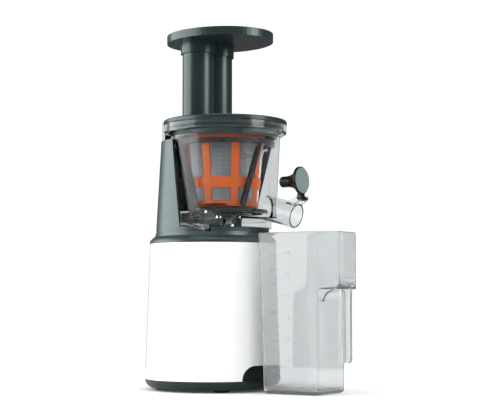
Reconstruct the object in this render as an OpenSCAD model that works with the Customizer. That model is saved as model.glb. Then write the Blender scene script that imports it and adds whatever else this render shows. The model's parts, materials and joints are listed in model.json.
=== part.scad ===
// Vertical slow juicer with a serving jug.
// Origin: the drive axis at the counter. Front is -Y, up is +Z. Millimetres.

/* [Base] */
// Distance that the housing centre sits behind the drive axis
base_cy = 18; // [17:0.5:19]
// Radius of the white housing at its lower edge
base_r = 80; // [79:0.5:82]
// Radius of the white housing at its upper edge
base_top_r = 75; // [74:0.5:76]
// Thickness of the white housing wall
shell_t = 3; // [2.4:0.2:3.2]

/* [Bowl] */
// Outer radius of the bowl rim
rim_r = 73.2; // [73:0.1:73.4]
// Outer radius of the bowl wall just under the rim
wall_top_r = 65.6; // [65.2:0.1:65.8]
// Outer radius of the bowl wall at its floor
wall_bot_r = 61.2; // [60.5:0.1:61.6]
// Downward slope of the juice spout in degrees
spout_slope = 15; // [13:0.5:16]
// Outer radius of the juice spout
spout_r = 14.5; // [14:0.25:15]
// Radius of the drip cap's finger knob
cap_knob = 6.4; // [6:0.2:6.8]

/* [Lid and tray] */
// Radius of the lid flange
lid_r = 73.7; // [73.2:0.1:74]
// Height of the top of the feed tube above the counter
tube_top = 413.5; // [400:0.5:420]
// Half length of the oval food tray, front to back
tray_a = 67; // [62:0.5:72]
// Half width of the oval food tray
tray_b = 57; // [54:0.5:62]
// Height of the tray rim
tray_h = 9.5; // [6:0.5:12]

/* [Jug] */
// Height of the jug
jug_h = 182; // [170:1:183]
// Half width of the jug
jug_w = 33; // [30:0.5:36]
// Wall thickness of the jug
jug_t = 2.2; // [1.8:0.1:2.6]

/* [Gears] */
// Module of the fast gear pair
m1 = 0.8; // [0.8]
// Module of the slow gear pair and of the bowl gears
m2 = 1.25; // [1.25]

/* [Hidden] */
$fn = 96;
e = 0.01;

c_dark = [0.23, 0.25, 0.26];
c_black = [0.06, 0.06, 0.07];
c_steel = [0.72, 0.73, 0.75];

// ---------- shared shapes ----------
// A rounded rectangle centred on x, from y0 to y1
module rrect(w, y0, y1, r) {
  translate([-w + r, y0]) square([2 * w - 2 * r, y1 - y0]);
  translate([-w, y0 + r]) square([2 * w, y1 - y0 - 2 * r]);
  for (x = [-w + r, w - r]) for (y = [y0 + r, y1 - r]) translate([x, y]) circle(r);
}
// A plain ring
module ring(ro, ri, z0, z1) {
  difference() {
    translate([0, 0, z0]) cylinder(r = ro, h = z1 - z0);
    translate([0, 0, z0 - 1]) cylinder(r = ri, h = z1 - z0 + 2);
  }
}
// Involute helpers, angles in degrees
pa = 25;
function inv(a) = tan(a) - a * PI / 180;
function hang(z, m, back, r) =
  let (rp = m * z / 2, rb = rp * cos(pa), hp = 90 / z - back / rp * 90 / PI)
  hp + (inv(pa) - inv(acos(min(1, rb / max(r, rb))))) * 180 / PI;
function tooth_r(z, m, ad, de) =
  let (rp = m * z / 2, rr = rp - de * m, rb = max(rp * cos(pa), rr + 0.12 * m), rt = rp + ad * m)
  [rr, rb, (rb + rp) / 2 + 0.02, rp + 0.3 * ad * m, rt];
function gear_pts(z, m, back, ad, de) = let (R = tooth_r(z, m, ad, de)) [
  for (i = [0 : z - 1], k = [0 : 9])
    let (s = k < 5 ? -1 : 1, j = k < 5 ? k : 9 - k, r = R[j], a = i * 360 / z + s * hang(z, m, back, r))
    [r * cos(a), r * sin(a)]];
// A straight rod between two points
module rod(p, q, r) let (v = q - p) translate(p) rotate([0, acos(v[2] / norm(v)), atan2(v[1], v[0])]) cylinder(r = r, h = norm(v));
function on_ring(r, a, z) = [r * cos(a), r * sin(a), z];
// A flat gear of z teeth with a tooth centred on +X
module gear2d(z, m, back = 0.14, ad = 0.9, de = 1.25) { polygon(gear_pts(z, m, back, ad, de)); }

mot = [33, -33, 72];
module at_posts() for (x = [-mot[0], mot[0]]) for (y = [mot[1], mot[2]]) translate([x, y, 0]) children();
module at_feet() translate([0, base_cy, 0]) for (a = [45 : 90 : 315]) rotate([0, 0, a]) translate([58, 0, 0]) children();
module at_screws() translate([0, base_cy, 0]) for (a = [30, 150, 210, 330]) rotate([0, 0, a]) translate([68, 0, 0]) children();

z_b = 13;       // lower edge of the white housing
z_t = 171.5;    // upper edge of the white housing
module arch2d() { rrect(40, -20, 30, 16); }
module front_prism(g = 0) translate([0, 0, 0]) rotate([90, 0, 0]) linear_extrude(90) offset_free_arch(g);
module offset_free_arch(g) rrect(40 + g, -20, 30 + g, 16 + g);

// ---------- base ----------
module base_housing() color([0.95, 0.95, 0.96]) {
  difference() {
    translate([0, base_cy, z_b]) cylinder(r1 = base_r, r2 = base_top_r, h = z_t - z_b, $fn = 128);
    translate([0, base_cy, z_b - e]) cylinder(r1 = base_r - shell_t, r2 = base_top_r - shell_t, h = z_t - z_b + 2 * e);
    front_prism(0.2);
    translate([70, base_cy - 8, 43]) cube([20, 16, 28]);
    translate([0, 85, 40]) rotate([-90, 0, 0]) cylinder(r = 5.6, h = 30);
    for (i = [-4 : 4]) translate([i * 7 - 1.2, 80, 60]) cube([2.4, 40, 30]);
  }
  difference() {
    at_screws() {
      translate([0, 0, z_b]) cylinder(r = 4, h = 25);
      translate([2, -1, z_b]) cube([base_r - shell_t - 68 - 1.7, 2, 20]);
    }
    at_screws() translate([0, 0, z_b - 1]) cylinder(r = 1.7, h = 20);
  }
}
module base_plate() color(c_dark) difference() {
  union() {
    translate([0, base_cy, 0]) rotate_extrude($fn = 128) polygon(concat([[0, 2.5]],
      [for (a = [-90 : 15 : 0]) [base_r - 10 + 10 * cos(a), 12.5 + 10 * sin(a)]], [[base_r, 13], [base_r - 3.2, 13]],
      [for (a = [0 : 15 : 90]) [base_r - 10 + 6.8 * cos(a), 12.5 - 6.8 * sin(a)]], [[0, 5.7]]));
    at_posts() translate([0, 0, 5]) cylinder(r = 5, h = 91);
    translate([0, 0, 5]) cylinder(r = 20, h = 14);
    translate([0, 62, 5]) cylinder(r = 14, h = 5);
    at_screws() translate([0, 0, 5]) cylinder(r = 5, h = 8);
  }
  at_posts() translate([0, 0, 60]) cylinder(r = 2, h = 40);
  at_feet() translate([0, 0, 2]) cylinder(r = 3, h = 5);
  at_screws() translate([0, 0, 2]) cylinder(r = 4, h = 6);
  at_screws() translate([0, 0, 2]) cylinder(r = 1.8, h = 20);
  translate([0, 62, 6]) cylinder(r = 12.2, h = 5);
  for (a = [0 : 30 : 330]) rotate([0, 0, a]) translate([26, -1.5, 2]) cube([18, 3, 5]);
}
module arch_panel() color(c_black) intersection() {
  difference() {
    translate([0, base_cy, z_b]) cylinder(r1 = base_r - 1.2, r2 = base_r - 1.8, h = 20, $fn = 128);
    translate([0, base_cy, z_b - 1]) cylinder(r = base_r - 4.6, h = 40, $fn = 128);
  }
  front_prism(0);
}
module rubber_feet() color([0.1, 0.1, 0.1]) at_feet() {
  cylinder(r = 9, h = 2.5);
  translate([0, 0, 2.4]) cylinder(r = 3, h = 3.1);
}
module base_screws() color(c_steel) at_screws() difference() {
  union() { translate([0, 0, 5.2]) cylinder(r = 3.6, h = 2.8); translate([0, 0, 7]) cylinder(r = 1.7, h = 20); }
  translate([0, 0, 5]) cylinder(r = 1.8, h = 1.6, $fn = 6);
}

// The outer cone of the rear column, g inside its surface
module column_cone(g, z0 = 190, z1 = 294) translate([0, base_cy, z0])
  cylinder(r1 = 67.5 - g, r2 = 62 - g, h = z1 - z0, $fn = 128);
// Everything in front of the sloped column edge
module column_front() translate([-120, 0, 0]) rotate([90, 0, 90]) linear_extrude(240)
  polygon([[-90, 189.5], [18, 189.5], [35, 295], [-90, 295]]);
module upper_housing() color([0.34, 0.36, 0.37]) {
  difference() {
    translate([0, base_cy, 0]) rotate_extrude($fn = 128) polygon([
      [10, 187], [64.5, 187], [64.5, 178], [71.5, 174.5], [71.5, 172], [74.2, 171.5], [75, 172],
      [75, 174.5], [73.5, 176.5], [69.3, 180], [67.5, 184.5], [67.5, 190], [10, 190]]);
    translate([0, 0, 180]) cylinder(r = 13, h = 20);
    translate([0, base_cy, 180]) cylinder(r = 11, h = 20);
  }
  difference() {
    translate([0, 0, 187]) cylinder(r = 34, h = 3);
    translate([0, 0, 186]) cylinder(r = 13, h = 6);
  }
  difference() {
    column_cone(0);
    difference() { column_cone(2.6, 189, 291); }
    translate([0, 0, 188]) cylinder(r = 66.3, h = 110, $fn = 128);
    column_front();
    translate([0, 75.9, 280]) cylinder(r = 1.5, h = 20);
  }
  difference() {
    column_cone(2.7, 190, 194);
    translate([0, 0, 188]) cylinder(r = 66.3, h = 110, $fn = 128);
    column_front();
  }
}
module column_liner() color(c_black) difference() {
  intersection() {
    column_cone(2.75, 189.9, 291);
    ring(67.9, 66.3, 194.05, 290.9, $fn = 128);
  }
  column_front();
}
module latch_post() color([0.66, 0.67, 0.68]) difference() {
  intersection() {
    translate([0, base_cy, 294]) cylinder(r = 62, h = 26, $fn = 128);
    translate([-30, 50, 294]) cube([60, 50, 26]);
  }
  translate([-12.6, 50, 313]) cube([25.2, 50, 20]);
  translate([0, 0, 290]) cylinder(r = 74, h = 30, $fn = 128);
  translate([0, 75.9, 290]) cylinder(r = 1.4, h = 30);
}

// ---------- motor and gearbox ----------
module stator_core() color([0.45, 0.46, 0.48]) difference() {
  translate([0, 0, 36]) cylinder(r = 38, h = 40);
  translate([0, 0, 35]) cylinder(r = 20.4, h = 42);
  for (a = [0 : 30 : 330]) rotate([0, 0, a]) translate([20, -2.5, 35]) cube([10, 5, 42]);
}
module stator_windings() color([0.72, 0.38, 0.16]) for (z = [[27, 36], [76, 85]]) difference() {
  translate([0, 0, z[0]]) cylinder(r = 32, h = z[1] - z[0]);
  translate([0, 0, z[0] - 1]) cylinder(r = 22.5, h = z[1] - z[0] + 2);
}
module motor_lower_cap() color([0.62, 0.63, 0.65]) difference() {
  union() { ring(38, 34.5, 19, 36); translate([0, 0, 19]) cylinder(r = 37, h = 2.5); translate([0, 0, 19]) cylinder(r = 14, h = 8); }
  translate([0, 0, 20.5]) cylinder(r = 11, h = 10);
  for (a = [0 : 60 : 300]) rotate([0, 0, a]) translate([17, -4, 15]) cube([13, 8, 10]);
}
module plate2d() rrect(40, -41, 80, 9);
module gearbox_plate() color([0.62, 0.63, 0.65]) difference() {
  union() {
    translate([0, 0, 96]) linear_extrude(4) plate2d();
    ring(38, 34.5, 76, 96.5);
    translate([0, 0, 91]) cylinder(r = 14, h = 6);
  }
  translate([0, 0, 90]) cylinder(r = 11, h = 9);
  translate([0, 0, 90]) cylinder(r = 7, h = 12);
  translate([0, 40, 90]) cylinder(r = 4, h = 12);
  at_posts() translate([0, 0, 90]) cylinder(r = 2, h = 12);
  for (a = [0 : 45 : 315]) rotate([0, 0, a]) translate([25, -5, 84]) cube([20, 10, 6]);
}
module gearbox_spacers() color(c_steel) at_posts() ring(4, 2, 100, 131);
module gearbox_cover() color([0.62, 0.63, 0.65]) difference() {
  union() {
    translate([0, 0, 131]) linear_extrude(4) plate2d();
    translate([0, 0, 131]) cylinder(r = 20, h = 16);
    for (x = [-26, 26]) translate([x - 1.5, -30, 134]) cube([3, 100, 5]);
  }
  translate([0, 0, 133]) cylinder(r = 16, h = 20);
  translate([0, 0, 130]) cylinder(r = 10, h = 20);
  translate([0, 40, 130]) cylinder(r = 4, h = 12);
  at_posts() translate([0, 0, 130]) cylinder(r = 2, h = 12);
}
module gearbox_screws() color(c_steel) at_posts() difference() {
  union() { translate([0, 0, 80]) cylinder(r = 2, h = 56); translate([0, 0, 135]) cylinder(r = 3.8, h = 3); }
  translate([0, 0, 136.5]) cylinder(r = 1.7, h = 3, $fn = 6);
}
module bearing(ro, ri, z0, z1) difference() {
  ring(ro, ri, z0, z1);
  ring(ro - 2, ri + 2, z1 - 0.6, z1 + 1);
  ring(ro - 2, ri + 2, z0 - 1, z0 + 0.6);
}
module motor_bearings() color(c_steel) { bearing(11, 4.04, 20.5, 27); bearing(11, 4.04, 92, 99); }
module output_bearing() color(c_steel) bearing(16, 8.05, 133, 145);
module intermediate_axle() color(c_steel) translate([0, 40, 96]) cylinder(r = 4, h = 39);
module shaft_seal() color([0.15, 0.15, 0.16]) { ring(13, 8.08, 187, 190); ring(14.5, 8.08, 190, 191.5); }
module run_capacitor() color([0.85, 0.85, 0.82]) translate([0, 62, 6]) {
  cylinder(r = 12.2, h = 44);
  for (x = [-4, 4]) translate([x - 0.4, -2, 44]) cube([0.8, 4, 5]);
}

// ---------- electrics ----------
sw = [77, base_cy, 57];
module switch_bezel() color(c_black) difference() {
  union() {
    translate([70, base_cy - 8, 43]) cube([10.2, 16, 28]);
    translate([79.2, base_cy - 10, 41]) cube([1.6, 20, 32]);
  }
  translate([60, base_cy - 5.6, 46.2]) cube([30, 11.2, 21.6]);
  translate([sw[0], 0, sw[2]]) rotate([-90, 0, 0]) cylinder(r = 1, h = 60);
}
module switch_pin() color(c_steel) translate([sw[0], base_cy - 8, sw[2]]) rotate([-90, 0, 0]) cylinder(r = 1, h = 16);
module switch_rocker() color([0.12, 0.12, 0.13]) translate(sw) rotate([90, 0, 0]) difference() {
  translate([0, 0, -5]) linear_extrude(10) polygon([[-3, -4], [-3, 4], [1.5, 9.4], [4.6, 9.2], [3.7, 3], [3.5, 0], [3.7, -3], [4.6, -9.2], [1.5, -9.4]]);
  translate([0, 0, -8]) cylinder(r = 1.05, h = 16);
}
module microswitch() color([0.13, 0.13, 0.15]) {
  translate([-7, 68.2, 258]) cube([14, 8, 18]);
  translate([-1.2, 74.6, 275.8]) cube([2.4, 2.4, 1.5]);
}
module interlock_plunger() color([0.85, 0.85, 0.83]) translate([0, 75.9, 0]) {
  translate([0, 0, 280]) cylinder(r = 0.8, h = 12);
  translate([0, 0, 289]) cylinder(r = 1.3, h = 24.2);
}
function coil(i, n, turns, r, z0, h) = let (a = i / n * turns * 360) [r * cos(a), r * sin(a), z0 + h * i / n];
// A helical wire as one polyhedron
module helix(turns, r, w, z0, h, n) polyhedron(
  points = [for (i = [0 : n], k = [0 : 3]) let (a = i / n * turns * 360, c = coil(i, n, turns, r, z0, h), q = 90 * k + 45)
    [c[0] + w * cos(q) * cos(a), c[1] + w * cos(q) * sin(a), c[2] + w * sin(q)]],
  faces = concat([[3, 2, 1, 0]], [[4 * n, 4 * n + 1, 4 * n + 2, 4 * n + 3]],
    [for (i = [0 : n - 1], k = [0 : 3]) [4 * i + (k + 1) % 4, 4 * i + 4 + (k + 1) % 4, 4 * i + 4 + k, 4 * i + k]]));
module plunger_spring() color(c_steel) translate([0, 75.9, 0]) helix(5, 1.3, 0.28, 281.5, 6.5, 60);
module cord_gland() color(c_black) difference() {
  union() {
    translate([0, 92, 40]) rotate([-90, 0, 0]) cylinder(r = 5.5, h = 7);
    translate([0, 97.8, 40]) rotate([-90, 0, 0]) cylinder(r = 8, h = 3);
  }
  translate([0, 80, 40]) rotate([-90, 0, 0]) cylinder(r = 3.6, h = 40);
}

// ---------- rotating drive train ----------
module rotor_core() color([0.5, 0.5, 0.52]) ring(20, 4, 38, 74);
module rotor_shaft() color(c_steel) translate([0, 0, 21]) cylinder(r = 4, h = 77.6);
module rotor_pinion() color(c_steel) {
  translate([0, 0, 102.5]) linear_extrude(8) rotate([0, 0, 90]) gear2d(12, m1, 0.12);
  translate([0, 0, 98.6]) cylinder(r = 3.6, h = 4);
}
module cooling_fan() color([0.2, 0.2, 0.21]) {
  ring(7, 4, 86.5, 90.5);
  ring(32, 7, 86.5, 87.5);
  for (a = [0 : 40 : 320]) rotate([0, 0, a]) translate([16, -0.6, 87.5]) cube([15, 1.2, 2.6]);
}
module first_gear() color([0.9, 0.89, 0.82]) translate([0, 40, 0]) difference() {
  translate([0, 0, 102.5]) linear_extrude(8) rotate([0, 0, 270 + 180 / 88]) gear2d(88, m1, 0.12);
  translate([0, 0, 102]) cylinder(r = 6.4, h = 12);
  for (a = [0 : 60 : 300]) rotate([0, 0, a]) translate([20, 0, 102]) cylinder(r = 6, h = 12);
}
module second_pinion() color(c_steel) translate([0, 40, 0]) difference() {
  union() {
    translate([0, 0, 100.4]) cylinder(r = 6.4, h = 12.1);
    translate([0, 0, 112.4]) linear_extrude(15) rotate([0, 0, 270 + 180 / 13]) gear2d(13, m2, 0.14);
    translate([0, 0, 127.4]) cylinder(r = 6, h = 3.2);
  }
  translate([0, 0, 100]) cylinder(r = 4.05, h = 40);
}
module output_gear() color([0.9, 0.89, 0.82]) difference() {
  union() {
    translate([0, 0, 113.5]) linear_extrude(12.5) rotate([0, 0, 90]) gear2d(51, m2, 0.14);
    translate([0, 0, 126]) cylinder(r = 13, h = 3);
  }
  translate([0, 0, 113]) cylinder(r = 8, h = 20);
  for (a = [0 : 60 : 300]) rotate([0, 0, a]) translate([20.5, 0, 113]) cylinder(r = 5, h = 14);
}
module drive_spindle() color(c_steel) {
  translate([0, 0, 112.6]) cylinder(r = 8, h = 79.4);
  translate([0, 0, 192]) cylinder(r = 7.8, h = 30, $fn = 6);
}

// ---------- bowl ----------
sp_end = [0, -99, 201.8];
module at_spout() translate(sp_end) rotate([90 + spout_slope, 0, 0]) children();
pin_u = 21;
pin_d = 2.1;
floor_z = 202;
module bowl_wall2d(g) polygon([
  [0, 199 + g], [wall_bot_r - g, 199 + g], [wall_bot_r - g, 210], [wall_top_r - g, 297], [wall_top_r + 0.3 - g, 298.5],
  [rim_r - 0.6 - g, 303], [rim_r - g, 304], [rim_r - g, 313 + (g > 0 ? 1 : 0)], [0, 313 + (g > 0 ? 1 : 0)]]);
module duct2d(g) polygon([[-29 + g, 206 - g], [5 - g, 206 - g], [5 - g, 192 + g], [-29 + g, 183 + g]]);
module juicing_bowl() color([0.78, 0.82, 0.84]) {
  difference() {
    union() {
      rotate_extrude($fn = 128) bowl_wall2d(0);
      ring(55, 51, 190, 199.5);
      translate([-84, -29, 190.6]) cube([60, 34, 15.4]);
      translate([-84, 0, 0]) rotate([90, 0, 90]) linear_extrude(13) duct2d(0);
      intersection() {
        at_spout() translate([0, 0, -46]) cylinder(r = spout_r, h = 46);
        translate([-30, -130, 180]) cube([60, 100, 80]);
      }
      at_spout() for (x = [-9, 6]) translate([x, 0, 0]) rotate([90, 0, 90]) linear_extrude(3)
        polygon([[8, -10], [14, -14], [17.4, -6], [pin_u + 3.4, pin_d - 1.2], [pin_u + 3, pin_d + 2], [pin_u, pin_d + 3.5], [pin_u - 3, pin_d + 1.6], [14, -0.6], [8, -0.6]]);
    }
    difference() {
      rotate_extrude($fn = 128) bowl_wall2d(2.5);
      translate([0, 0, 190]) cylinder(r = 12, h = 16);
      translate([20, 0, 190]) cylinder(r = 5, h = 16);
    }
    at_spout() translate([0, 0, -52]) cylinder(r = spout_r - 2, h = 60);
    translate([-90, -26.6, 193]) cube([64, 29.2, 5.8]);
    translate([-90, -26.6, 193]) cube([28.3, 29.2, 10.6]);
    translate([-85, 0, 0]) rotate([90, 0, 90]) linear_extrude(12) duct2d(2.4);
    translate([-47, -20, 190 + 8]) cube([10, 20, 10]);
    translate([0, 0, 180]) cylinder(r = 9.6, h = 40);
    translate([20, 0, 195]) cylinder(r = 2, h = 20);
    at_spout() translate([-20, pin_u, pin_d]) rotate([0, 90, 0]) cylinder(r = 1.5, h = 40);
  }
}
module bowl_bottom_seal() color([0.55, 0.57, 0.58]) { ring(9.6, 8.5, 197, 207); ring(11.5, 8.5, 195.6, 198.9); }
module idler_pin() color(c_steel) translate([20, 0, 199.6]) cylinder(r = 2, h = 14);
module cap_hinge_pin() color(c_black) at_spout() translate([-10, pin_u, pin_d]) rotate([0, 90, 0]) cylinder(r = 1.5, h = 20);

// The cap turned from closed to the open rest position
open_deg = 197;
module at_cap() translate(sp_end) rotate([90 + spout_slope, 0, 0])
  translate([0, pin_u, pin_d]) rotate([-open_deg, 0, 0]) translate([0, -pin_u, -pin_d]) children();
module drip_cap() color([0.3, 0.32, 0.33]) at_cap() difference() {
  union() {
    rotate_extrude() polygon(concat([[0, 1.5], [16, 1.5], [16, 4.1]],
      [for (i = [0 : 9]) [cap_knob + 8.2 * pow(1 - i / 9, 2.2), 4.3 + 17.2 * i / 9]],
      [for (a = [0 : 22.5 : 90]) [cap_knob - 3 + 3 * cos(a), 26.4 + 3 * sin(a)]], [[0, 29.4]]));
    translate([-5.5, 12, 1.5]) cube([11, pin_u - 12, 3.2]);
    translate([-5.5, pin_u, pin_d]) rotate([0, 90, 0]) cylinder(r = 3, h = 11);
  }
  translate([-10, pin_u, pin_d]) rotate([0, 90, 0]) cylinder(r = 1.56, h = 20);
}
module cap_seal() color([0.75, 0.77, 0.77]) at_cap() translate([0, 0, 0.3]) cylinder(r = 14.8, h = 1.2);

// ---------- wiper, strainer and auger ----------
arm_a = [[138, 167], [261.6, 238.4], [318, 347], [81.6, 58.4]];
module wiper_cage() color(c_black) {
  difference() {
    translate([0, 0, 207]) cylinder(r = 33, h = 6);
    translate([0, 0, 206]) linear_extrude(8) rotate([0, 0, 180 / 44]) gear2d(44, m2, -0.14, 1.15, 0.9);
  }
  ring(51.2, 45.4, 207.3, 211.4);
  for (a = arm_a) rotate([0, 0, a[1]]) translate([31, -3, 208]) cube([16, 6, 2.8]);
  ring(59.2, 53.2, 287.5, 293);
  for (a = arm_a) rod(on_ring(56.2, a[0], 290), on_ring(48.3, a[1], 209.4), 2.2);
}
module wiper_blades() color([0.2, 0.21, 0.22]) for (a = arm_a) hull() {
  rotate([0, 0, a[0]]) translate([48.4, -0.6, 280]) cube([4.6, 1.2, 4]);
  rotate([0, 0, a[1]]) translate([42, -0.6, 216]) cube([3.4, 1.2, 3]);
}
module idler_gear() color([0.9, 0.89, 0.82]) translate([20, 0, 0]) difference() {
  union() {
    translate([0, 0, 207]) linear_extrude(5.4) rotate([0, 0, 15]) gear2d(12, m2, 0.14);
    translate([0, 0, 206.3]) cylinder(r = 4, h = 1);
  }
  translate([0, 0, 200]) cylinder(r = 2.05, h = 20);
}
st_z = [214.6, 304];
module strainer_cone(g) translate([0, 0, st_z[0]]) cylinder(r1 = 39.4 - g, r2 = 48 - g, h = st_z[1] - st_z[0], $fn = 128);
module sector(a, h, z0, z1) rotate([0, 0, a]) translate([0, 0, z0]) linear_extrude(z1 - z0)
  polygon([[0, 0], [70 * cos(h), -70 * sin(h)], [78, 0], [70 * cos(h), 70 * sin(h)]]);
module windows(z0, z1) for (i = [0 : 7]) sector(229.4 + 22.5 + 45 * i, 16.4, z0, z1);
module strainer_frame() color([0.98, 0.42, 0.05]) {
  difference() {
    strainer_cone(0);
    difference() { strainer_cone(2.8); translate([0, 0, 200]) cylinder(r = 60, h = 17.4); }
    difference() { windows(221, 236); cylinder(r = 30, h = 400); }
    difference() { windows(249, 291); cylinder(r = 30, h = 400); }
    translate([0, 0, 200]) cylinder(r = 16, h = 30);
    sector(195, 22, 214, 217.5);
    translate([0, 0, 200]) cylinder(r = 0.1, h = 1);
  }
  difference() { translate([0, 0, 214.6]) cylinder(r = 24, h = 2.8); translate([0, 0, 200]) cylinder(r = 16, h = 30); }
}
module strainer_mesh() color([0.75, 0.76, 0.78]) for (z = [[221, 236], [249, 291]]) intersection() {
  difference() { strainer_cone(1.0); strainer_cone(1.8); }
  windows(z[0], z[1]);
}
au_r0 = 35;
au_r1 = 42.4;
function au_r(t) = au_r0 + (au_r1 - au_r0) * t;
function au_core(t) = 27 - 15.5 * t;
// One helical flight that climbs t turns between the core and the strainer
module flight(turns, n, ph, z0, z1) polyhedron(
  points = [for (i = [0 : n]) let (t = i / n, a = ph + t * turns * 360, z = z0 + (z1 - z0) * t,
      ro = au_r(t) * (t > 0.86 ? 1 - (t - 0.86) * 3.2 : 1), ri = au_core(t) - 2)
    each [[ri * cos(a), ri * sin(a), z], [ro * cos(a), ro * sin(a), z + 2.2],
          [ro * cos(a), ro * sin(a), z + 4.6], [ri * cos(a), ri * sin(a), z + 7]]],
  faces = concat([[3, 2, 1, 0]], [[4 * n, 4 * n + 1, 4 * n + 2, 4 * n + 3]],
    [for (i = [0 : n - 1], k = [0 : 3]) [4 * i + (k + 1) % 4, 4 * i + 4 + (k + 1) % 4, 4 * i + 4 + k, 4 * i + k]]));
module auger_screw() color([0.09, 0.09, 0.1]) difference() {
  union() {
    translate([0, 0, 218.2]) cylinder(r = 35.4, h = 4);
    translate([0, 0, 222]) cylinder(r1 = 29, r2 = 11.5, h = 72);
    translate([0, 0, 294]) cylinder(r = 7.5, h = 6);
    translate([0, 0, 300]) cylinder(r = 5, h = 11);
    flight(2.2, 88, 20, 220, 286);
    translate([0, 0, 212.9]) cylinder(r = 15, h = 6);
  }
  translate([0, 0, 200]) cylinder(r = 10, h = 45);
}
module auger_gear() color([0.3, 0.31, 0.33]) difference() {
  union() {
    translate([0, 0, 207.2]) linear_extrude(5.7) gear2d(20, m2, 0.14);
    translate([0, 0, 212.9]) cylinder(r = 10, h = 30);
  }
  translate([0, 0, 200]) cylinder(r = 8.05, h = 24, $fn = 6);
}

// ---------- lid and tray ----------
lobes = [[-17, 27.5, 19.2], [15, 23, 18.9]];
neck_r = 5.5;
module lobes2d(g) {
  for (p = lobes) translate([p[0], p[1]]) circle(p[2] + g);
  if (g < 0) translate([lobes[0][0], lobes[0][1]]) rotate(atan2(lobes[1][1] - lobes[0][1], lobes[1][0] - lobes[0][0]))
    translate([0, -neck_r]) square([norm(lobes[1] - lobes[0]) - 4.3, 2 * neck_r]);
}
module lid() color([0.36, 0.38, 0.39]) difference() {
  union() {
    rotate_extrude($fn = 128) polygon([[0, 313], [lid_r - 0.5, 313], [lid_r, 313.5], [lid_r, 317], [lid_r - 1, 318], [0, 318]]);
    ring(69.9, 66.4, 304.5, 313.5, $fn = 128);
    ring(44, 41, 299, 313.5);
    ring(62.2, 59.8, 297, 313.5, $fn = 128);
    translate([0, 0, 302]) cylinder(r = 10.2, h = 12);
    translate([0, 0, 317]) linear_extrude(tube_top - 317) lobes2d(0);
    for (a = [20, 110, 200, 290]) rotate([0, 0, a]) intersection() {
      ring(70.3, 68, 309.4, 312);
      translate([40, -22, 300]) cube([60, 44, 20]);
    }
  }
  translate([0, 0, 318]) linear_extrude(110) lobes2d(-2.5);
  intersection() {
    translate([0, 0, 290]) linear_extrude(29) lobes2d(-2.5);
    translate([0, 0, 289]) cylinder(r = 41, h = 31);
  }
  translate([0, 0, 300]) cylinder(r = 8, h = 12);
  ring(72, 68.6, 306, 308.6);
}
module lid_bush() color([0.85, 0.85, 0.83]) ring(8, 5.05, 302, 312);
module lid_seal() color([0.6, 0.62, 0.63]) ring(70.4, 68.6, 306, 308.6, $fn = 128);
module lid_tab() color(c_black) difference() {
  translate([-12, 70, 313.5]) cube([24, 9.6, 5.4]);
  translate([0, 0, 300]) cylinder(r = lid_r, h = 30, $fn = 128);
}
module oval(g) polygon([for (i = [0 : 71]) [(tray_b - g) * cos(i * 5), 8 + (tray_a - g) * sin(i * 5)]]);
module food_tray() color([0.3, 0.32, 0.33]) {
  difference() {
    union() {
      translate([0, 0, tube_top]) linear_extrude(tray_h) oval(0);
      translate([0, 0, tube_top - 14]) linear_extrude(14.1) lobes2d(2.1);
    }
    translate([0, 0, tube_top + 2.2]) linear_extrude(20) oval(2.6);
    translate([0, 0, tube_top - 20]) linear_extrude(20) lobes2d(0.35);
    translate([0, 0, tube_top - 1]) linear_extrude(20) lobes2d(-2.5);
  }
}

// ---------- jug ----------
// The tapered main body, g inside its surface, open upwards when g > 0
module jug_body(g) hull() {
  translate([0, 0, g > 0 ? 3 : 0]) linear_extrude(0.1) rrect_s(jug_w - 1 - g, -144.5 + g, -72.8 - g, 5 - g);
  translate([0, 0, jug_h + (g > 0 ? 1 : -0.1)]) linear_extrude(0.1) rrect_s(jug_w - g, -145 + g, -66 - g, 5 - g);
}
module rrect_s(w, y0, y1, r) for (x = [-w + r, w - r]) for (y = [y0 + r, y1 - r]) translate([x, y]) circle(r, $fn = 32);
// The overhang that carries the handle
module jug_up(g) hull() for (x = [-1, 1]) {
  translate([x * (jug_w - 8), -120]) circle(8 - g, $fn = 32);
  translate([x * (jug_w - 8), -141]) circle(8 - g, $fn = 32);
  translate([x * 17, -160]) circle(6 - g, $fn = 32);
}
module jug() color([0.8, 0.84, 0.86]) difference() {
  union() {
    jug_body(0);
    translate([0, 0, jug_h - 65]) linear_extrude(65) jug_up(0);
    translate([-12, -165, 35]) cube([24, 4, jug_h - 95]);
  }
  jug_body(jug_t);
  translate([0, 0, jug_h - 65 + jug_t]) linear_extrude(66) jug_up(jug_t);
}

base_housing();
base_plate();
arch_panel();
rubber_feet();
base_screws();
upper_housing();
column_liner();
latch_post();
stator_core();
stator_windings();
motor_lower_cap();
gearbox_plate();
gearbox_spacers();
gearbox_cover();
gearbox_screws();
motor_bearings();
output_bearing();
intermediate_axle();
shaft_seal();
run_capacitor();
switch_bezel();
switch_pin();
switch_rocker();
microswitch();
interlock_plunger();
plunger_spring();
cord_gland();
rotor_core();
rotor_shaft();
rotor_pinion();
cooling_fan();
first_gear();
second_pinion();
output_gear();
drive_spindle();
juicing_bowl();
bowl_bottom_seal();
idler_pin();
cap_hinge_pin();
drip_cap();
cap_seal();
wiper_cage();
wiper_blades();
idler_gear();
strainer_frame();
strainer_mesh();
auger_screw();
auger_gear();
lid();
lid_bush();
lid_seal();
lid_tab();
food_tray();
jug();
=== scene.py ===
import bpy, bmesh, math, json
from mathutils import Vector, Matrix

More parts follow.
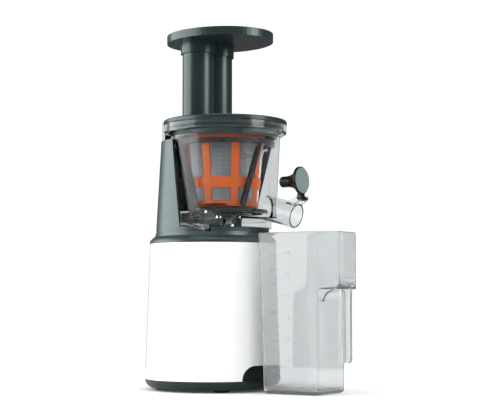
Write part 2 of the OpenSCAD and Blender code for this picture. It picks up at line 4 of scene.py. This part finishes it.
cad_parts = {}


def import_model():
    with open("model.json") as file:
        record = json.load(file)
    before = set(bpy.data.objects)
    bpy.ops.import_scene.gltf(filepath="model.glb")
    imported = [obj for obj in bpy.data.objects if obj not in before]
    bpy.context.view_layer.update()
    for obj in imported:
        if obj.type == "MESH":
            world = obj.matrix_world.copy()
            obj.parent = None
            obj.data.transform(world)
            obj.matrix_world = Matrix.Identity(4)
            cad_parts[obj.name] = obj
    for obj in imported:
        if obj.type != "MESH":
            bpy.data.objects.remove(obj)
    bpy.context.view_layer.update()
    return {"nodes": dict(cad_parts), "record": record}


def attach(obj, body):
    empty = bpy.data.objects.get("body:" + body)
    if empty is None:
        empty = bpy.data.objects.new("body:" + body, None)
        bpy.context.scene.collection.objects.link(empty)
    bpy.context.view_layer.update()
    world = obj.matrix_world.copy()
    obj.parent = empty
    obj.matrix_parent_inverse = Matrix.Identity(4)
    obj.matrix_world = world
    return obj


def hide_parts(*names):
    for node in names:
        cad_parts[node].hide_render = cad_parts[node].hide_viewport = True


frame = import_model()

N = frame["nodes"]
MM = 0.001


# ---------------------------------------------------------------- camera
def camera():
    cam = bpy.data.cameras.new("cam")
    ob = bpy.data.objects.new("cam", cam)
    bpy.context.scene.collection.objects.link(ob)
    az = math.radians(57.0)
    fwd = Vector((math.sin(az), math.cos(az), 0))
    right = Vector((fwd.y, -fwd.x, 0))
    ob.location = right * 0.0296 - fwd * 1.547 + Vector((0, 0, 0.110))
    pitch = math.radians(4.22)
    look = fwd * math.cos(pitch) + Vector((0, 0, math.sin(pitch)))
    ob.rotation_euler = look.to_track_quat("-Z", "Y").to_euler()
    cam.lens = 93.6
    cam.sensor_width = 36
    cam.clip_start = 0.05
    bpy.context.scene.camera = ob
    return ob


camera()


# ---------------------------------------------------------------- materials
def _new(name):
    m = bpy.data.materials.new(name)
    m.use_nodes = True
    nt = m.node_tree
    return m, nt, nt.nodes["Principled BSDF"]


def _coords(nt, scale=(1, 1, 1)):
    tc = nt.nodes.new("ShaderNodeTexCoord")
    mp = nt.nodes.new("ShaderNodeMapping")
    mp.inputs["Scale"].default_value = scale
    nt.links.new(tc.outputs["Object"], mp.inputs["Vector"])
    return mp.outputs["Vector"]


def _noise(nt, vec, scale, detail=3, rough=0.5):
    n = nt.nodes.new("ShaderNodeTexNoise")
    n.inputs["Scale"].default_value = scale
    n.inputs["Detail"].default_value = detail
    n.inputs["Roughness"].default_value = rough
    nt.links.new(vec, n.inputs["Vector"])
    return n.outputs["Fac"]


def _range(nt, fac, lo, hi, a=0.3, b=0.7):
    r = nt.nodes.new("ShaderNodeMapRange")
    r.inputs["From Min"].default_value = a
    r.inputs["From Max"].default_value = b
    r.inputs["To Min"].default_value = lo
    r.inputs["To Max"].default_value = hi
    nt.links.new(fac, r.inputs["Value"])
    return r.outputs["Result"]


def _mixcol(nt, fac, c1, c2):
    r = nt.nodes.new("ShaderNodeValToRGB")
    r.color_ramp.elements[0].position = 0.3
    r.color_ramp.elements[1].position = 0.7
    r.color_ramp.elements[0].color = (*c1, 1)
    r.color_ramp.elements[1].color = (*c2, 1)
    nt.links.new(fac, r.inputs["Fac"])
    return r.outputs["Color"]


def _bump(nt, bsdf, height, strength, dist):
    b = nt.nodes.new("ShaderNodeBump")
    b.inputs["Strength"].default_value = strength
    b.inputs["Distance"].default_value = dist
    nt.links.new(height, b.inputs["Height"])
    nt.links.new(b.outputs["Normal"], bsdf.inputs["Normal"])


def plastic(name, col, rough, grain=1500, bump=0.15, dist=0.00006, var=0.08, coat=0.0, spec=0.5, rvar=0.018, scale=(1, 1, 1), tint=None):
    m, nt, b = _new(name)
    v = _coords(nt, scale)
    big = _noise(nt, v, 14, 4, 0.6)
    fine = _noise(nt, v, grain, 2, 0.5)
    dark = tuple(c * (1 - var) for c in col)
    lite = tuple(min(1, c * (1 + var)) for c in col)
    nt.links.new(_mixcol(nt, big, dark, lite), b.inputs["Base Color"])
    nt.links.new(_range(nt, _noise(nt, v, 60, 3), rough - rvar, rough + rvar), b.inputs["Roughness"])
    b.inputs["Specular IOR Level"].default_value = spec
    if tint:
        b.inputs["Specular Tint"].default_value = (*tint, 1)
    b.inputs["Coat Weight"].default_value = coat
    b.inputs["Coat Roughness"].default_value = 0.06
    _bump(nt, b, fine, bump, dist)
    return m


def metal(name, col, rough, stretch=(1, 1, 40), grain=260, bump=0.1, var=0.1):
    m, nt, b = _new(name)
    v = _coords(nt, stretch)
    fine = _noise(nt, v, grain, 3, 0.6)
    big = _noise(nt, _coords(nt), 30, 3)
    nt.links.new(_mixcol(nt, big, tuple(c * (1 - var) for c in col), col), b.inputs["Base Color"])
    nt.links.new(_range(nt, fine, rough - 0.07, rough + 0.09), b.inputs["Roughness"])
    b.inputs["Metallic"].default_value = 1.0
    _bump(nt, b, fine, bump, 0.00004)
    return m


def clear(name, col, rough=0.03, ior=1.46, bump=0.05, wav=45, haze=0.0, spec=0.5):
    m, nt, b = _new(name)
    v = _coords(nt)
    b.inputs["Base Color"].default_value = (*col, 1)
    nt.links.new(_range(nt, _noise(nt, v, 40, 3), max(0.0, rough - 0.015), rough + 0.02), b.inputs["Roughness"])
    b.inputs["Transmission Weight"].default_value = 1.0 - haze
    b.inputs["Specular IOR Level"].default_value = spec
    b.inputs["IOR"].default_value = ior
    _bump(nt, b, _noise(nt, v, wav, 2, 0.4), bump, 0.0004)
    return m


M = {}
M["white_shell"] = plastic("white_shell", (0.90, 0.91, 0.912), 0.16, grain=300, bump=0.03, dist=0.0001, var=0.012, coat=0.5, rvar=0.03)
M["dark_plastic"] = plastic("dark_plastic", (0.016, 0.029, 0.030), 0.38, grain=2600, bump=0.06, dist=0.00003, var=0.1, spec=1.0, tint=(0.76, 1.0, 0.97))
M["lid_plastic"] = plastic("lid_plastic", (0.012, 0.021, 0.022), 0.30, grain=2400, bump=0.04, dist=0.00003, var=0.1, spec=0.9, tint=(0.78, 1.0, 0.98))
M["black_plastic"] = plastic("black_plastic", (0.006, 0.0065, 0.007), 0.28, grain=1600, bump=0.15, var=0.25)
M["light_grey_plastic"] = plastic("light_grey_plastic", (0.42, 0.43, 0.44), 0.38, grain=1800, bump=0.15, var=0.06)
M["natural_nylon"] = plastic("natural_nylon", (0.78, 0.74, 0.62), 0.42, grain=900, bump=0.12, var=0.06)
M["rubber_black"] = plastic("rubber_black", (0.022, 0.022, 0.023), 0.75, grain=2200, bump=0.35, var=0.2, spec=0.3)
M["silicone_grey"] = plastic("silicone_grey", (0.42, 0.45, 0.455), 0.46, grain=1400, bump=0.12, var=0.06)
M["orange_plastic"] = plastic("orange_plastic", (1.0, 0.15, 0.001), 0.38, grain=1500, bump=0.1, var=0.06, coat=0.1)
M["black_resin"] = plastic("black_resin", (0.016, 0.017, 0.019), 0.26, grain=700, bump=0.1, var=0.25, coat=0.2)
M["steel"] = metal("steel", (0.66, 0.67, 0.69), 0.26)
M["cast_alloy"] = metal("cast_alloy", (0.55, 0.56, 0.58), 0.45, stretch=(1, 1, 1), grain=1400, bump=0.35)
M["laminations"] = metal("laminations", (0.34, 0.35, 0.37), 0.42, stretch=(0.02, 0.02, 1), grain=2400, bump=0.8, var=0.25)
M["copper"] = metal("copper", (0.62, 0.24, 0.09), 0.34, stretch=(0.05, 0.05, 1), grain=1500, bump=0.9, var=0.3)
M["steel_mesh"] = metal("steel_mesh", (0.82, 0.83, 0.85), 0.42)
M["clear_plastic"] = clear("clear_plastic", (0.785, 0.806, 0.812), ior=1.42, haze=0.07, spec=0.25)
M["clear_bowl"] = clear("clear_bowl", (0.80, 0.825, 0.83), rough=0.02, ior=1.30, spec=0.15)

M["housing_plastic"] = plastic("housing_plastic", (0.012, 0.022, 0.023), 0.38, grain=2600, bump=0.05, dist=0.00003, var=0.1, spec=1.4, tint=(0.78, 1.0, 0.97))
# base plate band: the same grey plastic as the housing, darker here as painted shade that holds down the floor's
# reflection in the band
M["band_painted_shade_plastic"] = plastic("band_painted_shade_plastic", (0.0055, 0.0135, 0.0145), 0.40, grain=2600, bump=0.05, dist=0.00003, var=0.1, spec=0.4, tint=(0.78, 1.0, 0.97))
M["cap_plastic"] = plastic("cap_plastic", (0.004, 0.006, 0.006), 0.26, grain=2400, bump=0.03, dist=0.00003, var=0.1, spec=0.3, tint=(0.8, 1.0, 0.98))
M["arch_plastic"] = plastic("arch_plastic", (0.005, 0.005, 0.005), 0.40, grain=2400, bump=0.04, dist=0.00003, var=0.1, spec=0.25)
M["cap_disc"] = plastic("cap_disc", (0.16, 0.215, 0.21), 0.34, grain=1400, bump=0.05, var=0.05)

slot_of = {s["node"]: s["material_slot"] for s in frame["record"]["subparts"]}
for name, ob in N.items():
    # base_plate takes the darker copy of the grey plastic, a painted shade on the band
    m = M[{"juicing_bowl": "clear_bowl", "cap_seal": "cap_disc", "lid_seal": "rubber_black", "wiper_blades": "rubber_black",
           "upper_housing": "housing_plastic", "base_plate": "band_painted_shade_plastic", "drip_cap": "cap_plastic", "arch_panel": "arch_plastic"}.get(name, slot_of[name])]
    if not ob.material_slots:
        ob.data.materials.append(m)
    for s in ob.material_slots:
        s.material = m


# small edge rounds on the moulded parts
for name, wid in {"base_housing": 0.9, "upper_housing": 0.5, "lid": 0.45, "food_tray": 0.6, "drip_cap": 0.5, "latch_post": 1.2, "lid_tab": 0.8,
                  "arch_panel": 0.4, "strainer_frame": 0.5, "switch_rocker": 0.5, "switch_bezel": 0.4, "gearbox_cover": 0.5, "wiper_cage": 0.3}.items():
    if name in N:
        bv = N[name].modifiers.new("edge_round", "BEVEL")
        bv.width = wid * MM
        bv.segments = 2
        bv.limit_method = "ANGLE"
        bv.angle_limit = math.radians(40)
        bv.harden_normals = False


# ---------------------------------------------------------------- mesh helpers
def obj(name, verts, faces, mat, smooth=True):
    me = bpy.data.meshes.new(name)
    me.from_pydata([tuple(v) for v in verts], [], faces)
    me.materials.append(mat)
    me.update()
    bm = bmesh.new(); bm.from_mesh(me)
    bmesh.ops.recalc_face_normals(bm, faces=bm.faces)
    bm.to_mesh(me); bm.free()
    ob = bpy.data.objects.new(name, me)
    bpy.context.scene.collection.objects.link(ob)
    for p in me.polygons:
        p.use_smooth = smooth
    return ob


def apply_mods(ob):
    dg = bpy.context.evaluated_depsgraph_get()
    me = bpy.data.meshes.new_from_object(ob.evaluated_get(dg))
    old = ob.data
    ob.modifiers.clear()
    ob.data = me
    bpy.data.meshes.remove(old)
    return ob


def auto_smooth(ob, deg=35):
    me = ob.data
    bm = bmesh.new(); bm.from_mesh(me)
    lim = math.radians(deg)
    for e in bm.edges:
        e.smooth = len(e.link_faces) == 2 and e.calc_face_angle(0) < lim
    for f in bm.faces:
        f.smooth = True
    bm.to_mesh(me); bm.free()


# ---------------------------------------------------------------- stage and light
def stage():
    paper = plastic("floor_paper", (0.80, 0.80, 0.80), 0.8, grain=300, bump=0.02, var=0.004, spec=0.1, rvar=0.02)
    pb = paper.node_tree.nodes["Principled BSDF"]
    pb.inputs["Emission Color"].default_value = (1, 1, 1, 1)
    pb.inputs["Emission Strength"].default_value = 0.04
    nf = 96
    fl = obj("floor", [(0.48 * math.cos(2 * math.pi * i / nf), 0.48 * math.sin(2 * math.pi * i / nf) - 0.03, 0) for i in range(nf)], [tuple(range(nf))], paper)
    w = bpy.data.worlds.new("studio")
    bpy.context.scene.world = w
    w.use_nodes = True
    nt = w.node_tree
    bg = nt.nodes["Background"]
    bg.inputs["Color"].default_value = (1, 1, 1, 1)
    # mirror reflections see a dim room, everything else sees the white backdrop
    lp = nt.nodes.new("ShaderNodeLightPath")
    mr = nt.nodes.new("ShaderNodeMapRange")
    mr.inputs["To Min"].default_value = 0.98
    mr.inputs["To Max"].default_value = 0.13
    inv = nt.nodes.new("ShaderNodeMath"); inv.operation = "SUBTRACT"
    inv.inputs[0].default_value = 1.0
    nt.links.new(lp.outputs["Is Transmission Ray"], inv.inputs[1])
    mul = nt.nodes.new("ShaderNodeMath"); mul.operation = "MULTIPLY"
    nt.links.new(lp.outputs["Is Glossy Ray"], mul.inputs[0])
    nt.links.new(inv.outputs[0], mul.inputs[1])
    nt.links.new(mul.outputs[0], mr.inputs["Value"])
    cam_add = nt.nodes.new("ShaderNodeMath"); cam_add.operation = "MULTIPLY_ADD"
    cam_add.inputs[1].default_value = 0.08
    nt.links.new(lp.outputs["Is Camera Ray"], cam_add.inputs[0])
    nt.links.new(mr.outputs["Result"], cam_add.inputs[2])
    nt.links.new(cam_add.outputs[0], bg.inputs["Strength"])
    az = math.radians(57.0)
    fwd = Vector((math.sin(az), math.cos(az), 0))
    right = Vector((fwd.y, -fwd.x, 0))

    def area(name, r, f, z, target, size, power):
        l = bpy.data.lights.new(name, "AREA")
        l.shape = "RECTANGLE"
        l.size, l.size_y = size
        l.energy = power
        o = bpy.data.objects.new(name, l)
        bpy.context.scene.collection.objects.link(o)
        o.location = right * r + fwd * f + Vector((0, 0, z))
        o.rotation_euler = (Vector(target) - o.location).to_track_quat("-Z", "Y").to_euler()
    area("left", -1.40, 0.05, 0.60, (0, 0, 0.25), (2.0, 1.5), 27)
    area("right", 1.20, -0.60, 0.95, (0, 0, 0.35), (0.7, 1.0), 11)
    area("top", 0.0, -0.10, 1.7, (0, 0, 0.2), (0.9, 0.7), 4)
    vs = bpy.context.scene.view_settings
    vs.view_transform = "Standard"
    vs.look = "None"


stage()

# ---------------------------------------------------------------- serving jug
def arc(cx, cy, r, a0, a1, k=7):
    return [(cx + r * math.cos(math.radians(a0 + (a1 - a0) * i / (k - 1))),
             cy + r * math.sin(math.radians(a0 + (a1 - a0) * i / (k - 1)))) for i in range(k)]


def plan(w, yb, rb, c6, c5, t, g):
    """A six-cornered outline in mm: back corners (w, yb, rb), side corner c6 and front corner c5 as (x, y, r), inset by g."""
    rb, r6, r5 = rb - g, c6[2] - g, c5[2] - g
    bx, by = w - (rb + g), yb - (rb + g)
    return (arc(bx, by, rb, 0, 90) + arc(-bx, by, rb, 90, 180) + arc(-c6[0], c6[1], r6, 180, 180 + t)
            + arc(-c5[0], c5[1], r5, 180 + t, 270) + arc(c5[0], c5[1], r5, 270, 360 - t) + arc(c6[0], c6[1], r6, 360 - t, 360))


def jug_plan(z, s, g):
    """The jug's outline at height z; s goes from 0 (body) to 1 (with the overhang)."""
    f = z / 182.0
    w = 32.0 + f
    yb = -72.8 + 6.8 * f
    lo = plan(w, yb, 5, (w - 5, -139.7, 5), (w - 16, -139.7, 5), 90, g)
    up = plan(w, yb, 5, (w - 8, -141.0, 8), (17.0, -160.0, 6), 26, g)
    return [(a[0] * (1 - s) + b[0] * s, a[1] * (1 - s) + b[1] * s, z) for a, b in zip(lo, up)]


def jug():
    rings = []
    def shrink(pts, d, z):
        cx = sum(q[0] for q in pts) / len(pts); cy = sum(q[1] for q in pts) / len(pts)
        out = []
        for q in pts:
            v = Vector((q[0] - cx, q[1] - cy))
            k = max(0.0, (v.length - d) / v.length)
            out.append((cx + v.x * k, cy + v.y * k, z))
        return out
    base = jug_plan(0, 0, 0)
    rings.append(shrink(base, 6.0, 0.0))
    for a in (0, 18, 36, 54, 72, 90):
        d = 4.5 * (1 - math.sin(math.radians(a))); z = 4.5 * (1 - math.cos(math.radians(a)))
        rings.append(shrink(jug_plan(z, 0, 0), d, z))
    for z in (30, 60, 90, 102):
        rings.append(jug_plan(z, 0, 0))
    for a in range(10, 91, 10):
        rings.append(jug_plan(103 + 14.5 * math.sin(math.radians(a)), 1 - math.cos(math.radians(a)), 0))
    rings.append(jug_plan(121, 1, 0))
    for z in (140, 160, 176, 179.5):
        rings.append(jug_plan(z, 1, 0))
    for a in (20, 50, 90, 130, 160):
        rings.append([(q[0], q[1], 180.8 + 1.1 * math.sin(math.radians(a))) for q in jug_plan(181, 1, 1.1 - 1.1 * math.cos(math.radians(a)))])
    for z in (179.5, 160, 140, 123):
        rings.append(jug_plan(z, 1, 2.2))
    for a in range(80, -1, -10):
        rings.append(jug_plan(105.2 + 14.5 * math.sin(math.radians(a)), 1 - math.cos(math.radians(a)), 2.2))
    for z in (90, 60, 30, 9):
        rings.append(jug_plan(z, 0, 2.2))
    for a in (60, 30, 0):
        rings.append(shrink(jug_plan(3 + 5 * (1 - math.cos(math.radians(a))), 0, 2.2), 5 * (1 - math.sin(math.radians(a))), 3 + 5 * (1 - math.cos(math.radians(a)))))
    n = len(rings[0])
    verts = [(q[0] * MM, q[1] * MM, q[2] * MM) for r in rings for q in r]
    faces = []
    for i in range(len(rings) - 1):
        for k in range(n):
            k2 = (k + 1) % n
            faces.append((i * n + k, i * n + k2, (i + 1) * n + k2, (i + 1) * n + k))
    faces.append(tuple(reversed(range(n))))
    faces.append(tuple((len(rings) - 1) * n + k for k in range(n)))
    ob = obj("jug_body", verts, faces, M["clear_plastic"])
    auto_smooth(ob, 50)
    # degenerate points of the flat front corners
    bm = bmesh.new(); bm.from_mesh(ob.data)
    bmesh.ops.remove_doubles(bm, verts=bm.verts, dist=0.00002)
    bm.to_mesh(ob.data); bm.free()
    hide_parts("jug"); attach(ob, "serving_jug")

    # the hanging handle: a channel with thick edges and a rounded end
    def hsec(z, w, d):
        y = -160.9
        return [(-w, y, z), (-w, y - 4.0 * d, z), (-w + 3.0, y - 4.0 * d, z), (-w + 4.2, y - 2.4 * d, z),
                (w - 4.2, y - 2.4 * d, z), (w - 3.0, y - 4.0 * d, z), (w, y - 4.0 * d, z), (w, y, z),
                (w - 3, y + 0.2, z), (-w + 3, y + 0.2, z)]
    hs = [hsec(35.2, 8.5, 0.7), hsec(36.2, 10.4, 0.9), hsec(38.2, 11.6, 1), hsec(41, 12, 1), hsec(70, 12, 1), hsec(100, 12, 1), hsec(119.5, 12, 1)]
    n = len(hs[0])
    verts = [(a * MM, b * MM, c * MM) for h in hs for a, b, c in h]
    faces = [(i * n + k, i * n + (k + 1) % n, (i + 1) * n + (k + 1) % n, (i + 1) * n + k) for i in range(len(hs) - 1) for k in range(n)]
    faces += [tuple(reversed(range(n))), tuple((len(hs) - 1) * n + k for k in range(n))]
    h = obj("jug_handle", verts, faces, M["clear_plastic"])
    bv = h.modifiers.new("bevel", "BEVEL"); bv.width = 0.0005; bv.segments = 2; bv.limit_method = "ANGLE"
    apply_mods(h); auto_smooth(h, 40)
    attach(h, "serving_jug")

    # printed scale on the side that faces -X: ticks and plain numbers
    ink = plastic("jug_print", (0.30, 0.33, 0.34), 0.5, grain=900, bump=0.05, var=0.2)
    vs, fs = [], []
    def bar(y0, y1, z0, z1):
        zc = (z0 + z1) / 2
        x = -(32.0 + zc / 182.0) - 0.02
        i = len(vs)
        for dx in (0.06, -0.10):
            vs.extend([((x + dx) * MM, y0 * MM, z0 * MM), ((x + dx) * MM, y1 * MM, z0 * MM), ((x + dx) * MM, y1 * MM, z1 * MM), ((x + dx) * MM, y0 * MM, z1 * MM)])
        fs.extend([(i, i + 1, i + 2, i + 3), (i + 7, i + 6, i + 5, i + 4), (i, i + 4, i + 5, i + 1), (i + 1, i + 5, i + 6, i + 2), (i + 2, i + 6, i + 7, i + 3), (i + 3, i + 7, i + 4, i)])
    seg = {"0": "abcdef", "1": "bc", "2": "abged", "3": "abgcd", "4": "fgbc", "5": "afgcd", "6": "afgedc", "7": "abc", "8": "abcdefg", "9": "abcdfg"}
    def digit(ch, y, z, w=1.8, h=3.2, t=0.42):
        # seven plain strokes; the side is read from -X, where -Y is to the right
        for q in seg[ch]:
            L = {"a": (0, w, h - t, h), "g": (0, w, h / 2 - t / 2, h / 2 + t / 2), "d": (0, w, 0, t), "f": (0, t, h / 2, h), "e": (0, t, 0, h / 2), "b": (w - t, w, h / 2, h), "c": (w - t, w, 0, h / 2)}[q]
            bar(y - L[1], y - L[0], z + L[2], z + L[3])
    def number(txt, y, z):
        for i, ch in enumerate(txt):
            digit(ch, y - i * 2.5, z)
    for i in range(1, 10):
        z = 10 + i * 16.2
        bar(-95.5, -91.5, z, z + 0.5)
        if i % 2 == 1 or i == 8:
            number(str(i * 100), -83.5, z - 1.4)
        bar(-93.5, -91.5, z - 8.1, z - 7.6)
    for i in range(1, 7):
        z = 14 + i * 24.0
        bar(-104.5, -101.5, z, z + 0.5)
        number(str(i), -107, z - 1.4)
    p = obj("jug_scale", vs, fs, ink, smooth=False)
    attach(p, "serving_jug")


jug()


# ---------------------------------------------------------------- strainer steel
def strainer_mesh():
    def r_at(z, g):
        return 39.4 + 8.6 * (z - 214.6) / 89.4 - g
    verts, faces = [], []
    nz = {0: (220.4, 236.6, 11), 1: (248.4, 291.6, 29)}
    for z0, z1, k in nz.values():
        na = 192
        i0 = len(verts)
        for j in range(k + 1):
            z = z0 + (z1 - z0) * j / k
            for a in range(na):
                t = 2 * math.pi * (a + 0.5 * (j % 2)) / na
                r = r_at(z, 1.4)
                verts.append((r * math.cos(t) * MM, r * math.sin(t) * MM, z * MM))
        for j in range(k):
            for a in range(na):
                a2 = (a + 1) % na
                p, q, u, v = i0 + j * na + a, i0 + j * na + a2, i0 + (j + 1) * na + a2, i0 + (j + 1) * na + a
                faces.append((p, q, u, v))
    ob = obj("strainer_perforated_steel", verts, faces, M["steel_mesh"], smooth=False)
    w = ob.modifiers.new("holes", "WIREFRAME")
    w.thickness = 0.00075
    w.use_even_offset = False
    apply_mods(ob)
    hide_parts("strainer_mesh"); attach(ob, "strainer")


strainer_mesh()
